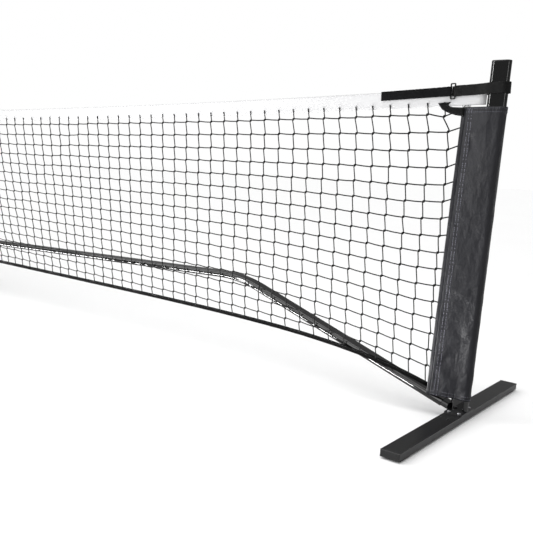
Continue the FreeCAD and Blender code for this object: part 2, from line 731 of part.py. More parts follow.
# ---- the set of nodes --------------------------------------------------------------------------------------
def sided_nodes():
    """The pieces that each end of the net has, as made on the left."""
    inner_end = LEVEL_RUN - CENTRE_GAP
    seams = {"outer": SEAM_AT[0], "inner": SEAM_AT[1]}
    nodes = {
        "foot_beam": foot_beam(-POST_X, FOOT_LENGTH, bolt_places(-POST_X)),
        "base_plate": base_plate(-POST_X),
        "post_stub": post_stub(),
        "rail_stub": rail_stub(),
        "post": post(),
        "post_cap": post_cap(),
        "end_rail": end_rail(),
        "middle_rail": straight_rail(SEAM_AT[0], SEAM_AT[1], SEAM_AT[1] - BUTTON_BACK),
        "inner_rail": straight_rail(SEAM_AT[1], inner_end, SOCKET_BUTTON),
        "sleeve": sleeve(),
        "sleeve_binding": sleeve_binding(),
        "corner_tab": corner_tab(),
        "strap_webbing": strap_webbing(),
        "strap_ring": strap_ring(),
        "strap_tail": strap_tail(),
    }
    for name, seam in seams.items():
        nodes[name + "_spigot"] = spigot(seam)
        nodes[name + "_button"] = snap_button(seam - BUTTON_BACK, SPIGOT_THICK)
        nodes[name + "_button_spring"] = button_spring(seam - BUTTON_BACK, SPIGOT_THICK)
    nodes["socket_button"] = snap_button(SOCKET_BUTTON, RAIL_THICK)
    nodes["socket_button_spring"] = button_spring(SOCKET_BUTTON, RAIL_THICK)
    return nodes


def shared_nodes():
    """The pieces at the centre, and the groups of identical small pieces."""
    feet = ((-POST_X, FOOT_LENGTH), (0.0, CENTRE_FOOT_LENGTH), (POST_X, FOOT_LENGTH))
    uprights = (-POST_X, POST_X)
    return {
        "centre_foot_beam": foot_beam(0.0, CENTRE_FOOT_LENGTH, []),
        "centre_leg": centre_leg(),
        "centre_socket": centre_socket(),
        "foot_end_caps": Part.makeCompound([cap for foot in feet for cap in end_caps(*foot)]),
        "foot_pads": Part.makeCompound([pad for foot in feet for pad in foot_pads(*foot)]),
        "base_bolts": Part.makeCompound([bolt for x in uprights for bolt in bolts(x)]),
        "base_nuts": Part.makeCompound([nut for x in uprights for nut in nuts(x)]),
        "headband": headband(),
        "tension_tape": tension_tape(),
        "net_mesh": net_mesh(),
        "bottom_band": bottom_band(),
    }


def main():
    os.makedirs("parts", exist_ok=True)
    nodes = shared_nodes()
    for name, shape in sided_nodes().items():
        nodes[name + "_left"] = shape
        nodes[name + "_right"] = mirrored(shape)
    for name, shape in nodes.items():
        if not shape.isValid():
            raise RuntimeError("the shape of " + name + " is not valid")
        shape.exportStep("parts/" + name + ".step")
    print(len(nodes), "nodes")


main()
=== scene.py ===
"""The looks of a portable court net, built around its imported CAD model.

Rigid pieces keep their CAD meshes and get materials. Cords, tapes, straps and sleeves are modelled
here, and stand for their plain CAD solids. Lengths are in metres. +X runs along the net, -Y is its
front, +Z is up.
"""
import json
import math
import random

import bpy
from mathutils import Matrix, Vector, noise


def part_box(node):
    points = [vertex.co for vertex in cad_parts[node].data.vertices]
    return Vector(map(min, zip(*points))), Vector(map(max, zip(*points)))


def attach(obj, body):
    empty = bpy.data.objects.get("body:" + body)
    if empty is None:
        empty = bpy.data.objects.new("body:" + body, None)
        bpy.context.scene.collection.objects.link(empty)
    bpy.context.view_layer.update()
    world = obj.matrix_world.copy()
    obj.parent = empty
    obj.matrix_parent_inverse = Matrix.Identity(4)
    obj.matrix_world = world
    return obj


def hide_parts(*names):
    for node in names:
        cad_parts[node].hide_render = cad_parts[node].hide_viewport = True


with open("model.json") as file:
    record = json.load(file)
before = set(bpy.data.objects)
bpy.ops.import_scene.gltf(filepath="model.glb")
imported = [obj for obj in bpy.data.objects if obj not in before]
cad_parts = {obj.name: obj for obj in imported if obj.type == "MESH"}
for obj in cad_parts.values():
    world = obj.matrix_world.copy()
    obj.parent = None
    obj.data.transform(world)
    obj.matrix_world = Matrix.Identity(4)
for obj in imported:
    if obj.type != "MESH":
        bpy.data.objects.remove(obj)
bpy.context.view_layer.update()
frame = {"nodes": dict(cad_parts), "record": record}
SIDES = (("left", -1), ("right", 1))

# ---- places that come from the CAD model ---------------------------------------------------------
MESH_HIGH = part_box("net_mesh")[1]
HEAD_LOW, HEAD_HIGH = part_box("headband")
TAPE_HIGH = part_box("tension_tape")[1]
SLEEVE_LOW, SLEEVE_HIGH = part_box("sleeve_right")
BINDING_LOW, BINDING_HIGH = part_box("sleeve_binding_right")
POST_LOW, POST_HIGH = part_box("post_right")
TAIL_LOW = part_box("strap_tail_right")[0]

POST_X = (POST_LOW.x + POST_HIGH.x) / 2
POST_RADIUS = (POST_HIGH.y - POST_LOW.y) / 2
POST_REACH = (POST_HIGH.x - POST_LOW.x) / 2 - POST_RADIUS
EDGE_X = MESH_HIGH.x + 0.0025  # the sleeve's inner edge
HEADBAND = 0.046
TOP_END = HEAD_HIGH.z
TOP_CENTRE = HEAD_LOW.z + HEADBAND
LEAN = 0.052  # how far the net hangs forward per unit of drop
SLEEVE_LEAN = 0.036  # the same at the sleeves
LEAN_GROWTH = 0.15
LEAN_FROM = TOP_END - HEADBAND
SAG_POWER = 2.3
BAND_MID_Z = 0.170
BAND_END_Z = 0.082
BAND_RISE = 0.28
BAND_HEIGHT = 0.014

# ---- net cord ------------------------------------------------------------------------------------
COLUMNS = 108
ROWS = 16
FIRST_COLUMN = 0.0205  # from the sleeve's edge
COLUMN_PITCH = 0.0570  # at the sleeve, from where it grows towards the centre
ROW_START = 0.614  # cells that the first row is short of a whole one
CELL_STRETCH = 0.565  # by how much of a cell the weight of the net lowers its middle rows
STRETCH_ROW = 10.3  # the row that is lowered most
STRETCH_REACH = 10.0  # rows from there to where it ends
STRETCH_START = 0.097  # from the sleeve's edge to where most of it is reached
TOP_PULL = 0.016  # how far the first row is pulled inward at the sleeve
CORD_RADIUS = 0.0018
CORD_SIDES = 6
KNOT_REACH = 0.0040
JOG_ACROSS = 0.0024  # a falling cord enters a knot this far to one side and leaves on the other
JOG_UP = 0.0015  # the same, for a level cord
KNOT_RING = 0.0031
KNOT_CORD = 0.0017
KNOT_SHAPE = (1.15, 0.75)  # the long and short radius of a knot's loop, in KNOT_RING
CORD_DEPTH = 0.0008  # falling cords pass this far in front of a knot's middle, level ones behind it
UP_HEADBAND = 0.011  # how far a falling cord shows on the headband
TUCKED = 0.004  # how far its other end goes into the bottom band
END_DRIFT = 0.004  # and how far outward that end is drawn from its last knot
BEHIND_TAB = 0.050  # where the outermost falling cord starts, from the sleeve's edge
TOP_CORD_END = 0.026  # the same for the first level cord, which ends behind the tab too
SLIPS = ((81.0, 1.0), (52.0, -1.0), (24.0, 1.0))  # columns at the top of diagonal faults, and their way

# ---- straps --------------------------------------------------------------------------------------
RING_AT = 0.123  # ring centre from the post centre
RING_BAR = 0.006  # each upright bar from the ring centre
STRAP_Z = 0.907
STRAP_TILT = math.tan(math.radians(2.7))
STRAP_HEIGHT = 0.028
TAIL_HEIGHT = 0.025
STRAP_Y = -0.005
STRAP_PLY = 0.0011

# ---- sewing: the pitch, length and radius of one stitch ------------------------------------------
SLEEVE_STITCH = (0.0056, 0.0045, 0.0010)
HEADBAND_STITCH = (0.0052, 0.0036, 0.00045)
BAND_STITCH = (0.0052, 0.0036, 0.0004)
TAB_STITCH = (0.0040, 0.0028, 0.0004)
STRAP_STITCH = (0.0034, 0.0025, 0.0005)

# ---- how wide each cloth was cut -----------------------------------------------------------------
TENSION_TAPE_CUT = 0.020


# ---- helpers: the net's form ---------------------------------------------------------------------
def net_top(x):
    """Height of the headband's upper edge."""
    return TOP_CENTRE + (TOP_END - TOP_CENTRE) * (abs(x) / EDGE_X) ** SAG_POWER


def band_bottom(x):
    """Height of the bottom band's lower edge."""
    inward = EDGE_X - abs(x)
    return BAND_MID_Z - (BAND_MID_Z - BAND_END_Z) * math.exp(-inward / BAND_RISE)


def lean_y(z, x=EDGE_X):
    """Where the hanging net is, across, at height z. It leans further forward away from the sleeves."""
    grown = 1 - math.exp((abs(x) - EDGE_X) / LEAN_GROWTH)
    return -(SLEEVE_LEAN + (LEAN - SLEEVE_LEAN) * grown) * max(LEAN_FROM - z, 0.0)


def smooth(low, high, value):
    """0 below low, 1 above high, and an S-curve between them."""
    part = min(max((value - low) / (high - low), 0.0), 1.0)
    return part * part * (3 - 2 * part)


def wander(x, y=0.0, z=0.0):
    """Seeded smooth noise from -1 to 1."""
    return noise.noise(Vector((x, y, z)))


# ---- helpers: meshes -----------------------------------------------------------------------------
class Shape:
    """Vertices and faces gathered for one piece."""

    def __init__(self):
        self.verts = []
        self.faces = []

    def add(self, verts, faces):
        start = len(self.verts)
        self.verts += verts
        self.faces += [tuple(start + index for index in face) for face in faces]

    def loft(self, rows, ring=False):
        """A skin over closed rows of points. A ring joins its last row to its first one."""
        count = len(rows[0])
        faces = []
        for r in range(len(rows) if ring else len(rows) - 1):
            low, high = r * count, (r + 1) % len(rows) * count
            for c in range(count):
                after = (c + 1) % count
                faces.append((low + c, low + after, high + after, high + c))
        if not ring:
            last = (len(rows) - 1) * count
            faces.append(tuple(reversed(range(count))))
            faces.append(tuple(range(last, last + count)))
        self.add([point for row in rows for point in row], faces)

    def tube(self, path, radius, sides, across=Vector((0, 1, 0)), closed=False):
        """A round cord along a path that never runs parallel to across."""
        rows = []
        count = len(path)
        for i, point in enumerate(path):
            before = path[i - 1] if closed or i else path[0]
            after = path[(i + 1) % count] if closed or i < count - 1 else path[-1]
            along = (after - before).normalized()
            side = along.cross(across).normalized()
            up = side.cross(along)
            turns = [2 * math.pi * k / sides for k in range(sides)]
            rows.append([point + radius * (math.cos(t) * side + math.sin(t) * up) for t in turns])
        self.loft(rows, ring=closed)

    def stitch(self, start, end, out, radius):
        """One stitch: a thin lozenge lying on the cloth."""
        along = (end - start).normalized()
        side = along.cross(out).normalized()
        middle = [start.lerp(end, 0.25), start.lerp(end, 0.75)]
        ring = [side, out, -side, -out]
        verts = [start] + [m + radius * way for m in middle for way in ring] + [end]
        faces = [(0, 1 + (k + 1) % 4, 1 + k) for k in range(4)]
        faces += [(1 + k, 1 + (k + 1) % 4, 5 + (k + 1) % 4, 5 + k) for k in range(4)]
        faces += [(9, 5 + k, 5 + (k + 1) % 4) for k in range(4)]
        self.add(verts, faces)

    def seam(self, path, outs, stitch):
        """A row of stitches along a path, with the way out of the cloth at each of its points."""
        pitch, length, radius = stitch
        travelled, due = 0.0, 0.0
        for i in range(len(path) - 1):
            step = (path[i + 1] - path[i]).length
            while due + length < travelled + step:
                a = path[i].lerp(path[i + 1], max(due - travelled, 0.0) / step)
                b = path[i].lerp(path[i + 1], (due + length - travelled) / step)
                self.stitch(a, b, outs[i], radius)
                due += pitch
            travelled += step

    def piece(self, name, material, slot, body, replaces=(), smooth_faces=True):
        """Makes the object, and parents it to its body's empty."""
        mesh = bpy.data.meshes.new(name)
        mesh.from_pydata(self.verts, [], self.faces)
        mesh.update()
        if smooth_faces:
            mesh.shade_smooth()
        obj = bpy.data.objects.new(name, mesh)
        bpy.context.scene.collection.objects.link(obj)
        mesh.materials.append(material)
        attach(obj, body)
        if replaces:
            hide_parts(*replaces)
        return obj


# ---- helpers: materials --------------------------------------------------------------------------
class Finish:
    """A material with one principled shader, and short calls for the nodes that feed it."""

    def __init__(self, name, **sockets):
        self.material = bpy.data.materials.new(name)
        self.material.use_nodes = True
        self.nodes = self.material.node_tree.nodes
        self.links = self.material.node_tree.links
        self.shader = self.nodes["Principled BSDF"]
        self.place = self.nodes.new("ShaderNodeTexCoord").outputs["Object"]
        for socket, value in sockets.items():
            self.shader.inputs[socket.replace("_", " ")].default_value = value

    def feed(self, socket, value):
        if isinstance(value, bpy.types.NodeSocket):
            self.links.new(value, socket)
        else:
            socket.default_value = value

    def calc(self, operation, *values):
        """One step of arithmetic on values or sockets."""
        node = self.nodes.new("ShaderNodeMath")
        node.operation = operation
        for socket, value in zip(node.inputs, values):
            self.feed(socket, value)
        return node.outputs[0]

    def axes(self):
        """The three object coordinates."""
        node = self.nodes.new("ShaderNodeSeparateXYZ")
        self.links.new(self.place, node.inputs[0])
        return node.outputs[0], node.outputs[1], node.outputs[2]

    def scaled(self, stretch):
        """The object coordinates, stretched."""
        node = self.nodes.new("ShaderNodeMapping")
        self.links.new(self.place, node.inputs["Vector"])
        node.inputs["Scale"].default_value = stretch
        return node.outputs[0]

    def noise(self, scale, detail=3.0, stretch=(1, 1, 1)):
        node = self.nodes.new("ShaderNodeTexNoise")
        self.links.new(self.scaled(stretch), node.inputs["Vector"])
        node.inputs["Scale"].default_value = scale
        node.inputs["Detail"].default_value = detail
        return node.outputs["Fac"]

    def spread(self, value, low, high, to_low, to_high):
        """A value between low and high, carried to another range."""
        node = self.nodes.new("ShaderNodeMapRange")
        for socket, number in zip(node.inputs, (value, low, high, to_low, to_high)):
            self.feed(socket, number)
        return node.outputs[0]

    def blend(self, amount, dark, light):
        node = self.nodes.new("ShaderNodeMix")
        node.data_type = "RGBA"
        self.feed(node.inputs["Factor"], amount)
        colours = [socket for socket in node.inputs if socket.type == "RGBA"]
        self.feed(colours[0], dark)
        self.feed(colours[1], light)
        return next(socket for socket in node.outputs if socket.type == "RGBA")

    def colour(self, value):
        self.links.new(value, self.shader.inputs["Base Color"])

    def roughness(self, value):
        self.links.new(value, self.shader.inputs["Roughness"])

    def bump(self, height, strength, distance):
        """Adds a layer of relief over any that is there."""
        node = self.nodes.new("ShaderNodeBump")
        node.inputs["Strength"].default_value = strength
        node.inputs["Distance"].default_value = distance
        self.links.new(height, node.inputs["Height"])
        normal = self.shader.inputs["Normal"]
        if normal.is_linked:
            self.links.new(normal.links[0].from_socket, node.inputs["Normal"])
        self.links.new(node.outputs[0], normal)

    def ripple(self, value, pitch, phase=0.0):
        """A sine of the value, from 0 to 1, that repeats every pitch."""
        angle = self.calc("MULTIPLY_ADD", value, 2 * math.pi / pitch, phase)
        return self.calc("MULTIPLY_ADD", self.calc("SINE", angle), 0.5, 0.5)

    def weave(self, pitch, ratio=1.0):
        """A plain weave on upright cloth, which runs on round its corners."""
        x, y, z = self.axes()
        across = self.calc("ADD", x, y)
        warp = self.ripple(across, pitch)
        weft = self.ripple(z, pitch * ratio)
        return self.calc("ABSOLUTE", self.calc("SUBTRACT", warp, weft))


def grey(value, tint=1.0):
    """An almost neutral colour, a little bluer as tint grows."""
    return (value, value, value * tint, 1.0)


def painted(name, level, rough, grain, gloss=0.5, tint=1.06):
    """Baked paint on steel: a fine orange peel, faint cloudiness and small rubbed specks."""
    f = Finish(name, Specular_IOR_Level=gloss)
    cloud = f.noise(14.0, 4.0)
    specks = f.spread(f.noise(420.0, 2.0), 0.68, 0.76, 0.0, 1.0)
    base = f.blend(cloud, grey(level * 0.75, tint), grey(level * 1.25, tint))
    f.colour(f.blend(f.calc("MULTIPLY", specks, 0.25), base, grey(level * 2, tint)))
    scuffs = f.noise(14.0, 5.0)
    f.roughness(f.spread(scuffs, 0.3, 0.7, rough * 0.88, rough * 1.15))
    f.bump(f.noise(1400.0, 2.0), grain, 0.0004)
    return f.material


def moulded(name, level, rough):
    """Moulded plastic or rubber with a sandy tool texture."""
    f = Finish(name)
    f.colour(f.blend(f.noise(40.0), grey(level * 0.8), grey(level * 1.3)))
    f.roughness(f.spread(f.noise(160.0), 0.3, 0.7, rough * 0.85, rough * 1.15))
    f.bump(f.noise(2200.0, 3.0), 0.35, 0.0004)
    return f.material


def plated(name, level, rough, streak):
    """Plated or blued steel with drawn streaks."""
    f = Finish(name, Metallic=1.0)
    streaks = f.noise(300.0, 4.0, streak)
    f.colour(f.blend(f.noise(60.0), grey(level * 0.8, 1.03), grey(level, 1.05)))
    f.roughness(f.spread(streaks, 0.3, 0.7, rough * 0.7, rough * 1.3))
    f.bump(streaks, 0.12, 0.0003)
    return f.material


def coated_cloth():
    """Dark coated nylon of the sleeves: a fine plain weave, soft sheen and faint rub marks."""
    f = Finish("sleeve_cloth", Sheen_Weight=0.02, Sheen_Roughness=0.4, Specular_IOR_Level=0.27)
    rubbed = f.noise(9.0, 5.0, (1, 1, 0.5))
    weave = f.weave(0.0011)
    base = f.blend(rubbed, grey(0.004, 1.3), grey(0.011, 1.3))
    f.colour(f.blend(f.calc("MULTIPLY", weave, 0.35), base, grey(0.024, 1.25)))
    f.roughness(f.spread(rubbed, 0.3, 0.7, 0.40, 0.52))
    f.bump(f.noise(22.0, 3.0, (1, 1, 0.6)), 1.0, 0.0090)
    f.bump(weave, 0.35, 0.00025)
    return f.material


def webbing(name, level, pitch, gloss=0.12):
    """Ribbed webbing: ribs along its length, with slanting picks over them."""
    f = Finish(name, Specular_IOR_Level=gloss)
    x, y, z = f.axes()
    ribs = f.ripple(z, pitch)
    slant = f.calc("ADD", f.calc("ADD", x, y), z)
    picks = f.ripple(slant, pitch * 0.8)
    relief = f.calc("MULTIPLY", ribs, picks)
    f.colour(f.blend(relief, grey(level * 0.4), grey(level * 2.6)))
    f.roughness(f.spread(f.noise(35.0), 0.3, 0.7, 0.55, 0.75))
    f.bump(relief, 0.6, 0.0005)
    return f.material


def pile():
    """The looped pile of hook-and-loop tape."""
    f = Finish("loop_pile", Sheen_Weight=0.03, Sheen_Roughness=0.6, Specular_IOR_Level=0.05)
    tufts = f.noise(1500.0, 4.0)
    brushed = f.noise(25.0, 4.0, (1, 1, 3))
    f.colour(f.blend(f.calc("MULTIPLY", tufts, brushed), grey(0.001), grey(0.010, 1.2)))
    f.roughness(f.spread(tufts, 0.3, 0.7, 0.85, 1.0))
    f.bump(tufts, 0.8, 0.0008)
    return f.material


def white_tape():
    """White coated polyester of the headband: a faint weave and light handling marks."""
    f = Finish("headband_cloth", Specular_IOR_Level=0.4, Sheen_Weight=0.05)
    handled = f.noise(6.0, 6.0, (1, 1, 4))
    weave = f.weave(0.0012, 0.8)
    base = f.blend(f.spread(handled, 0.35, 0.8, 0.0, 1.0), grey(0.49, 1.01), grey(0.47, 1.01))
    f.colour(f.blend(f.calc("MULTIPLY", weave, 0.12), base, grey(0.46, 1.02)))
    f.roughness(f.spread(handled, 0.3, 0.7, 0.4, 0.55))
    f.bump(f.noise(24.0, 3.0), 0.2, 0.0015)
    f.bump(weave, 0.2, 0.0002)
    return f.material


def braid():
    """Black braided cord: plaited ridges that cross, and dull dyed fibre."""
    f = Finish("net_braid", Specular_IOR_Level=0.12)
    x, _, z = f.axes()
    one = f.ripple(f.calc("ADD", x, z), 0.0016)
    other = f.ripple(f.calc("SUBTRACT", x, z), 0.0016)
    plait = f.calc("MAXIMUM", one, other)
    f.colour(f.blend(f.calc("MULTIPLY", plait, f.noise(80.0)), grey(0.002), grey(0.012)))
    f.roughness(f.spread(f.noise(200.0), 0.3, 0.7, 0.6, 0.8))
    f.bump(plait, 0.5, 0.0004)
    return f.material


def thread(name, level, tint):
    """Sewing thread, twisted and slightly shiny."""
    f = Finish(name, Sheen_Weight=0.1)
    x, y, z = f.axes()
    twist = f.ripple(f.calc("ADD", f.calc("ADD", x, z), y), 0.0007)
    f.colour(f.blend(twist, grey(level * 0.7, tint), grey(level * 1.3, tint)))
    f.roughness(f.spread(f.noise(300.0), 0.3, 0.7, 0.4, 0.55))
    return f.material


FLOOR_IN_GLOSS = 0.45


def floor_paint():
    """The studio floor: plain, pale and almost even, and dimmer in what the object's gloss mirrors."""
    f = Finish("studio_floor", Specular_IOR_Level=0.2)
    pale = f.blend(f.noise(0.6, 2.0), grey(0.88), grey(0.91))
    reflected = f.nodes.new("ShaderNodeLightPath").outputs["Is Glossy Ray"]
    f.colour(f.blend(reflected, pale, grey(FLOOR_IN_GLOSS)))
    f.roughness(f.spread(f.noise(3.0), 0.3, 0.7, 0.6, 0.7))
    return f.material


FINISHES = {
    "foot_paint": painted("foot_coat", 0.008, 0.30, 0.10),
    "gloss_paint": painted("post_gloss", 0.0010, 0.07, 0.01, 0.85),
    "satin_paint": painted("satin_coat", 0.010, 0.32, 0.1),
    "cap_plastic": moulded("cap_moulding", 0.012, 0.40),
    "pad_rubber": moulded("pad_moulding", 0.014, 0.75),
    "zinc_steel": plated("bolt_zinc", 0.34, 0.34, (1, 1, 4)),
    "spring_steel": plated("spring_blue", 0.30, 0.30, (1, 8, 8)),
    "sleeve_fabric": coated_cloth(),
    "tab_webbing": webbing("tab_weave", 0.003, 0.0013),
    "strap_webbing": webbing("strap_weave", 0.006, 0.0021),
    "hook_and_loop": pile(),
    "ring_wire": painted("ring_coat", 0.008, 0.28, 0.1),
    "headband_fabric": white_tape(),
    "net_cord": braid(),
    "bottom_tape": webbing("band_weave", 0.001, 0.0011, 0.03),
}
DARK_THREAD = thread("dark_thread", 0.15, 1.25)
BLACK_THREAD = thread("black_thread", 0.008, 1.0)
WHITE_THREAD = thread("white_thread", 0.62, 1.0)


def finish_cad_nodes():
    """Gives every CAD node the finish of its slot."""
    for part in frame["record"]["subparts"]:
        mesh = frame["nodes"][part["node"]].data
        mesh.materials.clear()
        mesh.materials.append(FINISHES[part["material_slot"]])


# ---- the knotted mesh ----------------------------------------------------------------------------
def column_x(column):
    """Where a falling cord hangs, from the left sleeve to the right one."""
    half = (COLUMNS - 1) / 2
    growth = ((EDGE_X - FIRST_COLUMN) / half - COLUMN_PITCH) / half
    from_sleeve = min(column, COLUMNS - 1 - column)
    x = EDGE_X - FIRST_COLUMN - from_sleeve * (COLUMN_PITCH + growth * from_sleeve)
    return -x if column < half else x


def column_slant(x, row):
    """How far a falling cord has drifted outward by a row: the bottom band pulls it that way."""
    inward = EDGE_X - abs(x)
    per_row = 0.0009 + 0.0012 * min(inward / 0.2, 1.0) + 0.0068 * (inward / 2.03) ** 3
    drift = per_row * (row - ROWS / 2) * smooth(EDGE_X, EDGE_X * 0.75, inward)
    drift -= TOP_PULL * math.exp((1 - row) / 1.1 - inward / 0.5)
    return drift if x > 0 else -drift


def row_z(x, row):
    """Height of a level cord. Rows are counted from the headband."""
    top = net_top(x) - HEADBAND
    bottom = band_bottom(x) + BAND_HEIGHT
    grown = 1 - math.exp((abs(x) - EDGE_X) / STRETCH_START)
    stretch = CELL_STRETCH * grown * (1 - ((row - STRETCH_ROW) / STRETCH_REACH) ** 2)
    return top - (top - bottom) * (row - ROW_START + stretch) / (ROWS + 0.4)


def net_point(x, z, forward=0.0):
    """A point on the hanging net, which billows a little."""
    billow = 0.0022 * wander(x * 1.7, z * 2.3)
    return Vector((x, lean_y(z, x) + billow * smooth(0.0, 0.1, LEAN_FROM - z) - forward, z))


def knot_offset(column, row):
    """How far a knot has slipped from the even grid."""
    x, z = 0.0016 * wander(column * 0.7, row * 0.9, 4.0), 0.0013 * wander(column * 0.8, row * 0.7, 9.0)
    for top, way in SLIPS:
        fault = top - way * (row - 1)
        beside = way * (column - fault)
        near = smooth(9.0, 2.0, abs(row - 4.5))
        x += way * 0.0028 * near * math.exp(-abs(beside) / 2.5) * (1 if beside < 0 else -1)
        z -= 0.0026 * near * math.exp(-abs(beside) / 3.0) * (1 if beside < 0 else -0.6)
    return x, z


def corner_pull(column, row):
    """The pull of a corner tab on the knots beside it, inward and down."""
    if column in (0, COLUMNS - 1) and row == 1:
        return 0.007, -0.007
    return 0.0, 0.0


def knot_grid():
    """The middle of every knot, by column and row."""
    jitter = random.Random(7)
    grid = []
    for column in range(COLUMNS):
        knots = []
        for row in range(1, ROWS + 1):
            x = column_x(column)
            x += column_slant(x, row)
            slip_x, slip_z = knot_offset(column, row)
            inward, down = corner_pull(column, row)
            slip_x += -math.copysign(inward, x) + jitter.uniform(-0.0005, 0.0005)
            slip_z += down + jitter.uniform(-0.0005, 0.0005)
            knots.append(net_point(x + slip_x, row_z(x, row) + slip_z))
        grid.append(knots)
    return grid


def through_knot(knot, enter, leave):
    """Four points that carry a cord into a knot on one side and out on the other."""
    return [knot + enter, knot + enter * 0.4, knot + leave * 0.4, knot + leave]


def falling_cord(knots):
    """One cord from the headband to the bottom band."""
    x = knots[0].x
    top = net_top(x) - HEADBAND
    start = Vector((x - JOG_ACROSS, -HEAD_HALF - CORD_RADIUS - 0.0006, top + UP_HEADBAND))
    if abs(x) > EDGE_X - 2 * FIRST_COLUMN:
        start = Vector((math.copysign(EDGE_X - BEHIND_TAB, x), lean_y(top - 0.012), top - 0.013))
    path = [start]
    enter = Vector((JOG_ACROSS, -CORD_DEPTH, KNOT_REACH))
    leave = Vector((-JOG_ACROSS, -CORD_DEPTH, -KNOT_REACH))
    for i, knot in enumerate(knots):
        path.append(path[-1].lerp(knot + enter, 0.5) + bow(knot, i))
        path += through_knot(knot, enter, leave)
    last_x = knots[-1].x + math.copysign(END_DRIFT, x)
    bottom = band_bottom(last_x) + BAND_HEIGHT - TUCKED
    path.append(Vector((last_x, lean_y(bottom, last_x), bottom)))
    return path


def bow(knot, index):
    """The small bend of a slack cord between two knots."""
    return Vector((0.0008 * wander(knot.x * 9, index * 1.3), 0, 0))


def sleeve_rise(row):
    """How much higher a level cord meets the sleeve than its last knot."""
    return 0.011 * smooth(13.0, 2.0, row) - 0.002 * smooth(12.0, 16.0, row)


def level_cord(grid, row):
    """One cord from sleeve to sleeve."""
    ends = []
    for sign in (-1, 1):
        knot = grid[0 if sign < 0 else -1][row - 1]
        z = knot.z + sleeve_rise(row)
        x = sign * (EDGE_X - 0.0004)
        if row == 1:
            x, z = sign * (EDGE_X - TOP_CORD_END), knot.z + 0.009
        ends.append(Vector((x, lean_y(z), z)))
    enter = Vector((-KNOT_REACH, CORD_DEPTH, -JOG_UP))
    leave = Vector((KNOT_REACH, CORD_DEPTH, JOG_UP))
    path = [ends[0]]
    sag = Vector((0, 0, -0.0006))
    for column in grid:
        knot = column[row - 1]
        path.append(path[-1].lerp(knot + enter, 0.5) + sag)
        path += through_knot(knot, enter, leave)
    path.append(ends[1])
    return path


def knot_loop(knot, turn):
    """The turn of cord that locks a knot."""
    steps = [2 * math.pi * k / 8 for k in range(8)]
    loop = []
    for step in steps:
        a, b = math.cos(step) * KNOT_RING * KNOT_SHAPE[0], math.sin(step) * KNOT_RING * KNOT_SHAPE[1]
        x = a * math.cos(turn) - b * math.sin(turn)
        z = a * math.sin(turn) + b * math.cos(turn)
        loop.append(knot + Vector((x, 0.0011 * math.cos(2 * step), z)))
    return loop


def make_net_cord():
    grid = knot_grid()
    shape = Shape()
    for knots in grid:
        shape.tube(falling_cord(knots), CORD_RADIUS, CORD_SIDES)
    for row in range(1, ROWS + 1):
        shape.tube(level_cord(grid, row), CORD_RADIUS, CORD_SIDES)
    turns = random.Random(11)
    for knots in grid:
        for knot in knots:
            loop = knot_loop(knot, math.radians(40 + turns.uniform(-12, 12)))
            shape.tube(loop, KNOT_CORD, 6, closed=True)
    shape.piece("net_cord_mesh", FINISHES["net_cord"], "net_cord", "net", ["net_mesh"])


# ---- the tapes along the net ---------------------------------------------------------------------
def tape_stations(reach, pitch):
    """Places along X from -reach to reach."""
    count = round(2 * reach / pitch)
    return [-reach + 2 * reach * i / count for i in range(count + 1)]


HEAD_HALF = 0.0020
HEAD_PLY = 0.0010
HEAD_LEVELS = (0.0, 0.0012, 0.006, 0.013, 0.024, 0.036, 0.0425)  # points up one face
FOLD_TURNS = (35, 90, 145)  # degrees of the points over the fold
HEAD_SEAMS = {-1: 2, 1: 14}  # which point of the section carries the stitches, front and back


def headband_section(x):
    """The folded tape at one station: up the front, over the fold, down the back, then inside."""
    top = net_top(x)
    low = top - HEADBAND
    cell = 2 * math.pi * (x - column_x(0)) / (column_x(1) - column_x(0))
    outer, inner = [], []
    for side in (-1, 1):
        for rise in HEAD_LEVELS if side < 0 else reversed(HEAD_LEVELS):
            loose = 1 - rise / HEADBAND
            flare = 0.0011 * loose * wander(x * 5, side * 3.0) + 0.0005 * wander(x * 21, rise * 40, side)
            pull = -0.0005 * loose * math.cos(cell)
            z = low + rise + pull * (rise < 0.01)
            y = side * (HEAD_HALF + 0.0003 * (rise < 0.008)) + flare * smooth(1.0, 0.2, rise / HEADBAND)
            outer.append(Vector((x, y, z)))
            inner.append(Vector((x, y - side * HEAD_PLY, z)))
        if side < 0:
            for turn in FOLD_TURNS:
                angle = math.radians(180 - turn)
                middle = Vector((x, 0, top - HEAD_HALF))
                way = Vector((0, math.cos(angle), math.sin(angle)))
                outer.append(middle + HEAD_HALF * way)
                inner.append(middle + (HEAD_HALF - HEAD_PLY) * way)
    return outer + inner[::-1]


def make_headband():
    reach = HEAD_HIGH.x
    places = tape_stations(reach, 0.018)
    shape = Shape()
    shape.loft([headband_section(x) for x in places])
    white = FINISHES["headband_fabric"]
    band = shape.piece("headband_tape", white, "headband_fabric", "net", ["headband"])
    sewing = Shape()
    for side, index in HEAD_SEAMS.items():
        path = [headband_section(x)[index] for x in places]
        sewing.seam(path, [Vector((0, side, 0))] * len(path), HEADBAND_STITCH)
    rows = sewing.piece("headband_stitches", WHITE_THREAD, "headband_fabric", "net")


def make_tension_tape():
    """The flat webbing inside the headband."""
    places = tape_stations(TAPE_HIGH.x, 0.05)
    half = 0.0007
    rows = []
    for x in places:
        top = net_top(x) - 0.0035
        low = top - TENSION_TAPE_CUT
        corners = ((-half, low), (half, low), (half, top), (-half, top))
        rows.append([Vector((x, y, z)) for y, z in corners])
    shape = Shape()
    shape.loft(rows)
    web = FINISHES["strap_webbing"]
    tape = shape.piece("tension_tape_web", web, "strap_webbing", "net", ["tension_tape"], False)


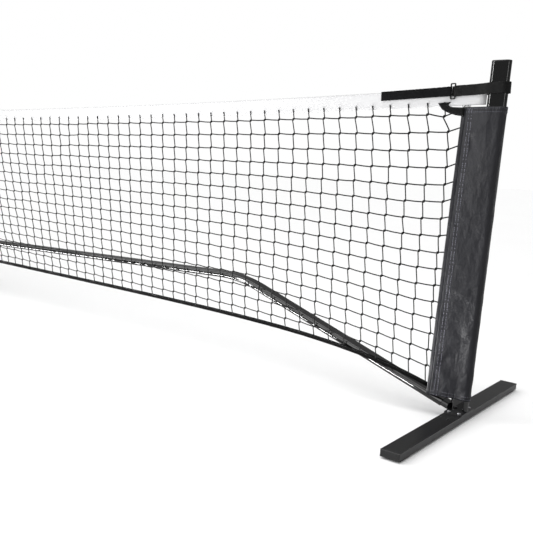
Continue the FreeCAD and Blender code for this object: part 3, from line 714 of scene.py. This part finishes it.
BAND_PROFILE = (  # across and up, from the front's upper edge round the fold to the back's
    (-0.0017, 0.0140),
    (-0.0020, 0.0110),
    (-0.0018, 0.0070),
    (-0.0017, 0.0030),
    (-0.0011, 0.0007),
    (0.0, 0.0),
    (0.0011, 0.0007),
    (0.0017, 0.0030),
    (0.0018, 0.0070),
    (0.0020, 0.0110),
    (0.0017, 0.0140),
)
BAND_PLY = 0.0008


def band_section(x):
    """The bottom band: a tape folded up round the mesh's last cords, outside and then inside."""
    low = band_bottom(x)
    sway = 0.0009 * wander(x * 4, 3.0)
    outer, inner = [], []
    for y, rise in BAND_PROFILE:
        z = low + rise + 0.0004 * wander(x * 30, rise * 90)
        within = y - math.copysign(min(BAND_PLY, abs(y)), y)
        outer.append(Vector((x, lean_y(z, x) + y + sway, z)))
        inner.append(Vector((x, lean_y(z, x) + within + sway, z + BAND_PLY * smooth(0.003, 0.0, rise))))
    return outer + inner[::-1]


def make_bottom_band():
    reach = MESH_HIGH.x
    places = tape_stations(reach, 0.015)
    shape = Shape()
    shape.loft([band_section(x) for x in places])
    black = FINISHES["bottom_tape"]
    band = shape.piece("bottom_tape_fold", black, "bottom_tape", "net", ["bottom_band"])
    sewing = Shape()
    for index, side in ((1, -1), (9, 1)):
        path = [band_section(x)[index] for x in places]
        sewing.seam(path, [Vector((0, side, 0))] * len(path), BAND_STITCH)
    rows = sewing.piece("bottom_tape_stitches", BLACK_THREAD, "bottom_tape", "net")


# ---- the sleeves ---------------------------------------------------------------------------------
SLEEVE_RADIUS = POST_RADIUS + 0.003
SLEEVE_PLY = 0.0010
SLEEVE_TIP = POST_X - BINDING_HIGH.x + 0.0003  # from the post centre to where the plies close
LOOP_POINTS = 88
HEM = 0.016
HEM_RELIEF = 0.0006
HEM_PUCKER = 0.0004
DEEPEST_DENT = 0.0009  # against the post
FOLDS = 26
SEAM_POINTS = (4, 7, LOOP_POINTS - 5, LOOP_POINTS - 8)  # the loop's points under the upright seams


def sleeve_outline(z):
    """The sleeve round the post, as (inward, across) points from the front of its tip to the back."""
    radius, reach = SLEEVE_RADIUS, POST_REACH
    tip_y = lean_y(z)
    points = [(SLEEVE_TIP, tip_y - 0.0014), (reach, -radius), (-reach, -radius)]
    for k in range(1, 16):
        angle = -math.pi / 2 - math.pi * k / 16
        points.append((-reach + radius * math.cos(angle), radius * math.sin(angle)))
    points += [(-reach, radius), (reach * 0.6, radius)]
    run, rise = SLEEVE_TIP - reach, tip_y + 0.0014
    angle = math.atan2(rise, run) + math.acos(radius / math.hypot(run, rise))
    points.append((reach + radius * math.cos(angle), radius * math.sin(angle)))
    points.append((SLEEVE_TIP, tip_y + 0.0014))
    return [Vector(point) for point in points]


def even_points(points, count):
    """count points, evenly spaced along a line through the points."""
    lengths = [0.0]
    for a, b in zip(points, points[1:]):
        lengths.append(lengths[-1] + (b - a).length)
    made, span = [], 0
    for i in range(count):
        due = lengths[-1] * i / (count - 1)
        while span < len(points) - 2 and lengths[span + 1] < due:
            span += 1
        part = (due - lengths[span]) / (lengths[span + 1] - lengths[span])
        made.append(points[span].lerp(points[span + 1], part))
    return made, lengths[-1]


def sleeve_folds(seed):
    """Soft creases: where each lies, its way, and its size."""
    pick = random.Random(seed)
    folds = []
    for _ in range(FOLDS):
        folds.append(
            {
                "along": pick.uniform(0.0, 0.25),
                "z": pick.uniform(SLEEVE_LOW.z + 0.03, SLEEVE_HIGH.z - 0.03),
                "turn": math.radians(pick.choice((20, 35, 60, 115, 150, 165)) + pick.uniform(-9, 9)),
                "length": pick.uniform(0.03, 0.10),
                "width": pick.uniform(0.005, 0.012),
                "depth": pick.choice((-1, 1, 1)) * pick.uniform(0.0016, 0.0042),
            }
        )
    return folds


def crease(folds, along, z):
    """The height of all creases at one place on the cloth."""
    height = 0.0
    for fold in folds:
        a, b = along - fold["along"], z - fold["z"]
        run = a * math.cos(fold["turn"]) + b * math.sin(fold["turn"])
        off = -a * math.sin(fold["turn"]) + b * math.cos(fold["turn"])
        height += fold["depth"] * math.exp(-((run / fold["length"]) ** 2) - (off / fold["width"]) ** 2)
    return height


def sleeve_bottom(inward, across):
    """The lower edge, which clears the rail that passes under the back of the sleeve."""
    behind = smooth(-0.030, -0.012, across)
    return SLEEVE_LOW.z + 0.005 * behind * smooth(0.035, 0.060, inward)


def sleeve_row(sign, level, folds):
    """One ring of cloth: outer points, inner points and ways out. level is 0 at the bottom, 1 on top."""
    z_mid = SLEEVE_LOW.z + level * (SLEEVE_HIGH.z - SLEEVE_LOW.z)
    ring, total = even_points(sleeve_outline(z_mid), LOOP_POINTS)
    outer, inner, outs = [], [], []
    for i, point in enumerate(ring):
        before, after = ring[max(i - 1, 0)], ring[min(i + 1, len(ring) - 1)]
        way = (after - before).normalized()
        out = Vector((-way.y, way.x))
        along = total * i / (len(ring) - 1)
        bottom = sleeve_bottom(point.x, point.y)
        z = bottom + level * (SLEEVE_HIGH.z - bottom)
        free = smooth(0.0, 0.03, min(along, total - along))
        height = crease(folds, along, z) + 0.0012 * wander(along * 16, z * 6, sign * 5.0)
        height *= free
        if point.x < POST_REACH + 0.008:
            height = max(height, -DEEPEST_DENT)
        height *= 1 - 0.75 * smooth(0.0, -POST_REACH, point.x)
        edge = min(z - bottom, SLEEVE_HIGH.z - z)
        height += HEM_RELIEF * smooth(HEM + 0.001, HEM - 0.001, edge)
        height += HEM_PUCKER * math.sin(along * 700) * smooth(HEM * 1.6, HEM * 0.6, edge) * free
        place = point + out * height
        within = place - out * SLEEVE_PLY
        outer.append(Vector((sign * (POST_X - place.x), place.y, z)))
        inner.append(Vector((sign * (POST_X - within.x), within.y, z)))
        outs.append(Vector((-sign * out.x, out.y, 0)))
    return outer, inner, outs


def sleeve_levels():
    """Heights of the rings, closer together at the hems."""
    hem = HEM / (SLEEVE_HIGH.z - SLEEVE_LOW.z)
    low = [0.0, hem * 0.3, hem * 0.6, hem * 0.92, hem * 1.08, hem * 1.5]
    steps = 78
    middle = [hem * 1.5 + (1 - 3 * hem) * k / steps for k in range(1, steps)]
    return low + middle + [1 - level for level in reversed(low)]


def make_sleeve(side, sign, seed):
    folds = sleeve_folds(seed)
    rows = [sleeve_row(sign, level, folds) for level in sleeve_levels()]
    skin = [outer for outer, inner, outs in rows]
    lining = [inner for outer, inner, outs in reversed(rows)]
    shape = Shape()
    shape.loft(skin + lining, ring=True)
    cloth = FINISHES["sleeve_fabric"]
    sleeve = shape.piece("sleeve_cloth_" + side, cloth, "sleeve_fabric", "net", ["sleeve_" + side])
    binding = make_binding(side, sign)
    sewing = Shape()
    for level in hem_seams():
        outer, inner, outs = sleeve_row(sign, level, folds)
        sewing.seam(outer, outs, SLEEVE_STITCH)
    for index in SEAM_POINTS:
        path = [outer[index] for outer, inner, outs in rows]
        ways = [outs[index] for outer, inner, outs in rows]
        sewing.seam(path, ways, SLEEVE_STITCH)
    ends = make_thread_ends(side, sign, seed)
    stitches = sewing.piece("sleeve_stitches_" + side, DARK_THREAD, "sleeve_fabric", "net")


def make_thread_ends(side, sign, seed):
    """Loose ends of thread that curl up from the sleeve's top corner."""
    pick = random.Random(seed)
    shape = Shape()
    for k in range(9):
        x = EDGE_X + 0.001 + 0.0028 * k
        height = pick.uniform(0.002, 0.006)
        curl = pick.uniform(-0.003, 0.003)
        foot = Vector((sign * x, -0.0035, SLEEVE_HIGH.z - 0.004))
        bends = ((0.0, 0.0), (0.2, 0.5), (0.7, 0.9), (1.0, 1.0))
        path = [foot + Vector((curl * a, 0, 0.004 + height * b)) for a, b in bends]
        shape.tube([foot] + path, 0.0008, 5)
    return shape.piece("sleeve_thread_ends_" + side, BLACK_THREAD, "sleeve_fabric", "net")


def hem_seams():
    """The levels of the double rows of stitches along the hems."""
    height = SLEEVE_HIGH.z - SLEEVE_LOW.z
    return [0.004 / height, 0.013 / height, 1 - 0.013 / height, 1 - 0.004 / height]


def make_binding(side, sign):
    """The folded tape on the sleeve's inner edge."""
    rows = []
    low, high = BINDING_LOW.x, BINDING_HIGH.x
    profile = ((0.0, -0.2), (0.06, -0.8), (0.3, -1.0), (0.7, -0.92), (0.94, -0.8), (1.0, -0.3))
    ring = list(profile) + [(a, -b) for a, b in reversed(profile)]
    count = 90
    for k in range(count + 1):
        z = SLEEVE_LOW.z + (SLEEVE_HIGH.z - SLEEVE_LOW.z) * k / count
        sway = 0.0006 * wander(z * 14, sign * 2.0)
        row = []
        for across, thick in ring:
            x = low + (high - low) * across + 0.0006 * wander(z * 22, across, sign)
            row.append(Vector((sign * x, lean_y(z) + sway + 0.0016 * thick, z)))
        rows.append(row)
    shape = Shape()
    shape.loft(rows)
    name = "sleeve_binding_" + side
    return shape.piece("binding_tape_" + side, FINISHES["sleeve_fabric"], "sleeve_fabric", "net", [name])


# ---- the corner tabs -----------------------------------------------------------------------------
TAB_LOWER = (  # across from the sleeve's edge, and height
    (-0.006, 0.8415),
    (0.002, 0.8425),
    (0.018, 0.8450),
    (0.033, 0.8492),
    (0.046, 0.8540),
    (0.058, 0.8600),
    (0.0715, 0.8765),
)
TAB_UPPER = (
    (-0.006, 0.8640),
    (0.002, 0.8650),
    (0.014, 0.8655),
    (0.027, 0.8660),
    (0.038, 0.8685),
    (0.0415, 0.8725),
    (0.0345, 0.8792),
)


def make_corner_tab(side, sign):
    """The reinforcing tab: a strip from the sleeve's corner that turns up under the headband."""
    across = 8
    front, back = [], []
    for lower, upper in zip(TAB_LOWER, TAB_UPPER):
        row = []
        for k in range(across + 1):
            part = k / across
            inward = lower[0] + (upper[0] - lower[0]) * part
            z = lower[1] + (upper[1] - lower[1]) * part
            swell = 0.0007 * math.sin(math.pi * part) + 0.0006 * wander(inward * 60, z * 60, sign)
            row.append((inward, z, -0.0034 - swell))
        front.append([Vector((sign * (EDGE_X - a), y - 0.0011, z)) for a, z, y in row])
        back.append([Vector((sign * (EDGE_X - a), y + 0.0011, z)) for a, z, y in row])
    rings = [f + b[::-1] for f, b in zip(front, back)]
    shape = Shape()
    shape.loft(rings)
    name = "corner_tab_" + side
    tab = shape.piece("tab_strip_" + side, FINISHES["tab_webbing"], "tab_webbing", "net", [name])
    sewing = Shape()
    for k in (1, across - 1):
        path = [row[k] for row in front]
        sewing.seam(path, [Vector((0, -1, 0))] * len(path), TAB_STITCH)
    sewing.seam(front[1], [Vector((0, -1, 0))] * len(front[1]), TAB_STITCH)
    rows = sewing.piece("tab_stitches_" + side, BLACK_THREAD, "tab_webbing", "net")


# ---- the top straps ------------------------------------------------------------------------------
def strap_point(sign, inward, across, rise):
    """A point in the strap's own tilted frame: inward from the post, across, and up from its middle."""
    lift = (RING_AT - inward) * STRAP_TILT
    return Vector((sign * (POST_X - inward - rise * STRAP_TILT), across, STRAP_Z + lift + rise))


def ribbon(sign, path, ply, height, wave, seed):
    """A strip of webbing that follows a path seen from above, with a rounded edge and a small wave."""
    rows = []
    for i, point in enumerate(path):
        before, after = path[max(i - 1, 0)], path[min(i + 1, len(path) - 1)]
        way = (after - before).normalized()
        out = Vector((way.y, -way.x))
        half = height / 2
        rises = (-half, -half + 0.0008, -half * 0.5, 0.0, half * 0.5, half - 0.0008, half)
        thick = (0.35, 0.62, 0.5, 0.5, 0.5, 0.62, 0.35)
        outer, inner = [], []
        for rise, part in zip(rises, thick):
            shift = wave * wander(i * 0.35, rise * 60, seed)
            middle = point + out * shift
            edge = rise + 0.0006 * wander(i * 0.5, seed, rise)
            outer.append(strap_point(sign, *(middle + out * ply * part), edge))
            inner.append(strap_point(sign, *(middle - out * ply * part), edge))
        rows.append(outer + inner[::-1])
    shape = Shape()
    shape.loft(rows)
    return shape


def arc(centre, radius, start, end, steps):
    """Points on an arc, with angles in degrees."""
    angles = [math.radians(start + (end - start) * k / steps) for k in range(steps + 1)]
    return [centre + radius * Vector((math.cos(a), math.sin(a))) for a in angles]


def webbing_path():
    """From its sewn end behind the ring's bar, forward round the bar, round the post, and back."""
    bar = Vector((RING_AT - RING_BAR, STRAP_Y))
    turn = 0.0015 + STRAP_PLY * 0.6
    radius = POST_RADIUS + 0.0026
    reach = POST_REACH
    path = [Vector((0.098, STRAP_Y + turn)), Vector((0.110, STRAP_Y + turn))]
    path += arc(bar, turn, 90, -90, 8)
    path += [Vector((0.110, STRAP_Y - turn)), Vector((0.098, STRAP_Y - 0.0018))]
    path += [Vector((0.080, STRAP_Y - 0.001))]
    path += [Vector((0.060, STRAP_Y - 0.0012)), Vector((0.040, -0.0098))]
    path += [Vector((0.026, -radius + 0.0016))]
    path += [Vector((reach, -radius)), Vector((0.0, -radius - 0.0008))]
    path += arc(Vector((-reach, 0)), radius + 0.0022, -90, -270, 14)
    path += [Vector((0.0, radius + 0.0008)), Vector((reach, radius)), Vector((0.030, radius - 0.003))]
    path += [Vector((0.048, 0.0075)), Vector((0.066, 0.0045))]
    path += [Vector((0.080, 0.0042)), Vector((0.092, 0.0044))]
    return even_points(path, 120)


def make_strap(side, sign):
    path, length = webbing_path()
    shape = ribbon(sign, path, STRAP_PLY, STRAP_HEIGHT, 0.0007, sign * 3.0)
    behind_ring = even_points([Vector((0.1262, -0.0027)), Vector((0.1000, -0.0028))], 12)[0]
    flap = ribbon(sign, behind_ring, 0.0005, STRAP_HEIGHT - 0.002, 0.0, sign * 3.0)
    shape.add(flap.verts, flap.faces)
    name = "strap_webbing_" + side
    web = shape.piece("top_strap_" + side, FINISHES["strap_webbing"], "strap_webbing", "net", [name])
    sewing = Shape()
    for inward in (0.1085, 0.1045, 0.1005):
        rises = [-0.012 + 0.024 * k / 6 for k in range(7)]
        line = [strap_point(sign, inward, STRAP_Y - 0.0029, rise) for rise in rises]
        sewing.seam(line, [Vector((0, -1, 0))] * len(line), STRAP_STITCH)
    rows = sewing.piece("strap_stitches_" + side, BLACK_THREAD, "strap_webbing", "net")


def make_tail(side, sign):
    """The pile tail, folded round the ring's inner bar and laid along the headband."""
    bar = Vector((RING_AT + RING_BAR, STRAP_Y))
    ply = 0.0013
    turn = 0.0015 + ply * 0.6
    end = POST_X - TAIL_LOW.x
    path = [Vector((0.160, STRAP_Y + 0.0014)), Vector((0.138, STRAP_Y + turn))]
    path += arc(bar, turn, 90, 270, 8)
    path += [Vector((0.138, STRAP_Y - turn)), Vector((0.165, STRAP_Y - 0.0004))]
    path += [Vector((0.200, STRAP_Y)), Vector((0.260, STRAP_Y - 0.0003)), Vector((end, STRAP_Y))]
    fine, length = even_points(path, 96)
    shape = ribbon(sign, fine, ply, TAIL_HEIGHT, 0.00035, sign * 7.0)
    name = "strap_tail_" + side
    tail = shape.piece("loop_tail_" + side, FINISHES["hook_and_loop"], "hook_and_loop", name, [name])


# ---- the studio ----------------------------------------------------------------------------------
FLOOR_REACH = 60.0
FLOOR_Z = -0.0002  # just below the pads
AMBIENT = 0.22  # the surroundings' brightness, except straight to the camera
CAMERA_AT = Vector((4.0622, -1.8686, 0.6796))
CAMERA_YAW = 0.6493  # angles in radians, fitted to the photograph's edges
CAMERA_PITCH = 0.2294
CAMERA_ROLL = 0.0561


def make_floor():
    corners = ((-1, -1), (1, -1), (1, 1), (-1, 1))
    mesh = bpy.data.meshes.new("studio_floor")
    verts = [(FLOOR_REACH * x, FLOOR_REACH * y, FLOOR_Z) for x, y in corners]
    mesh.from_pydata(verts, [], [(0, 1, 2, 3)])
    mesh.materials.append(floor_paint())
    floor = bpy.data.objects.new("studio_floor", mesh)
    bpy.context.scene.collection.objects.link(floor)


def soft_light(name, place, target, size, power, along=(0, 0, 1)):
    """A rectangular studio light that faces a target, unseen itself. Its long side runs along."""
    data = bpy.data.lights.new(name, "AREA")
    data.shape = "RECTANGLE"
    data.size, data.size_y = size
    data.energy = power
    lamp = bpy.data.objects.new(name, data)
    back = (Vector(place) - Vector(target)).normalized()
    wide = Vector(along).cross(back).normalized()
    turn = Matrix((wide, back.cross(wide), back)).transposed().to_4x4()
    lamp.matrix_world = Matrix.Translation(place) @ turn
    lamp.visible_camera = False
    bpy.context.scene.collection.objects.link(lamp)


def make_world():
    """A white backdrop for the camera, and dimmer surroundings that light the object."""
    world = bpy.data.worlds.new("studio")
    world.use_nodes = True
    nodes, links = world.node_tree.nodes, world.node_tree.links
    sky = nodes["Background"]
    sky.inputs["Color"].default_value = (1.0, 1.0, 1.0, 1.0)
    level = nodes.new("ShaderNodeMapRange")
    level.inputs["To Min"].default_value = AMBIENT
    level.inputs["To Max"].default_value = 1.0
    links.new(nodes.new("ShaderNodeLightPath").outputs["Is Camera Ray"], level.inputs["Value"])
    links.new(level.outputs[0], sky.inputs["Strength"])
    bpy.context.scene.world = world


def make_lights():
    """A broad soft key that lights the whole floor evenly, and strips that draw the highlights."""
    data = bpy.data.lights.new("key", "SUN")
    data.energy = 3.4
    data.angle = math.radians(95)
    key = bpy.data.objects.new("key", data)
    key.rotation_mode = "QUATERNION"
    key.rotation_quaternion = Vector((0.30, 0.42, -1.0)).to_track_quat("-Z", "Y")
    bpy.context.scene.collection.objects.link(key)
    post_middle = (3.35, 0.0, 0.5)
    soft_light("strip_left", (1.36, -1.70, 0.75), post_middle, size=(0.16, 1.6), power=24.0)
    soft_light("strip_right", (5.36, -0.90, 0.8), post_middle, size=(0.16, 1.6), power=4.0)
    foot_side = (3.38, -0.2, 0.02)
    soft_light("panel_back", (4.9, 1.6, 0.45), foot_side, size=(0.7, 1.6), power=9.0, along=(1, -1, 0))
    below, rail = (1.45, -0.30, 0.004), (1.45, -0.12, 0.25)
    soft_light("strip_low", below, rail, size=(0.06, 3.3), power=60.0, along=(1, 0, 0))


def make_camera():
    """The photograph's viewing angle: from the right end of the net, a little above it."""
    right = Vector((math.cos(CAMERA_YAW), math.sin(CAMERA_YAW), 0.0))
    level = Vector((-math.sin(CAMERA_YAW), math.cos(CAMERA_YAW), 0.0))
    forward = level * math.cos(CAMERA_PITCH) - Vector((0, 0, math.sin(CAMERA_PITCH)))
    up = right.cross(forward)
    side = right * math.cos(CAMERA_ROLL) + up * math.sin(CAMERA_ROLL)
    top = up * math.cos(CAMERA_ROLL) - right * math.sin(CAMERA_ROLL)
    data = bpy.data.cameras.new("camera")
    data.lens = 47.10
    data.sensor_width = 36.0
    data.shift_x = -0.0022
    data.shift_y = 0.12
    camera = bpy.data.objects.new("camera", data)
    turn = Matrix((side, top, -forward)).transposed().to_4x4()
    camera.matrix_world = Matrix.Translation(CAMERA_AT) @ turn
    bpy.context.scene.collection.objects.link(camera)
    bpy.context.scene.camera = camera


make_camera()
make_world()
make_lights()
make_floor()
finish_cad_nodes()
make_net_cord()
make_tension_tape()
make_headband()
make_bottom_band()
for side_name, side_sign in SIDES:
    make_sleeve(side_name, side_sign, 40 + side_sign)
    make_corner_tab(side_name, side_sign)
    make_strap(side_name, side_sign)
    make_tail(side_name, side_sign)
bpy.context.scene.view_settings.view_transform = "Standard"
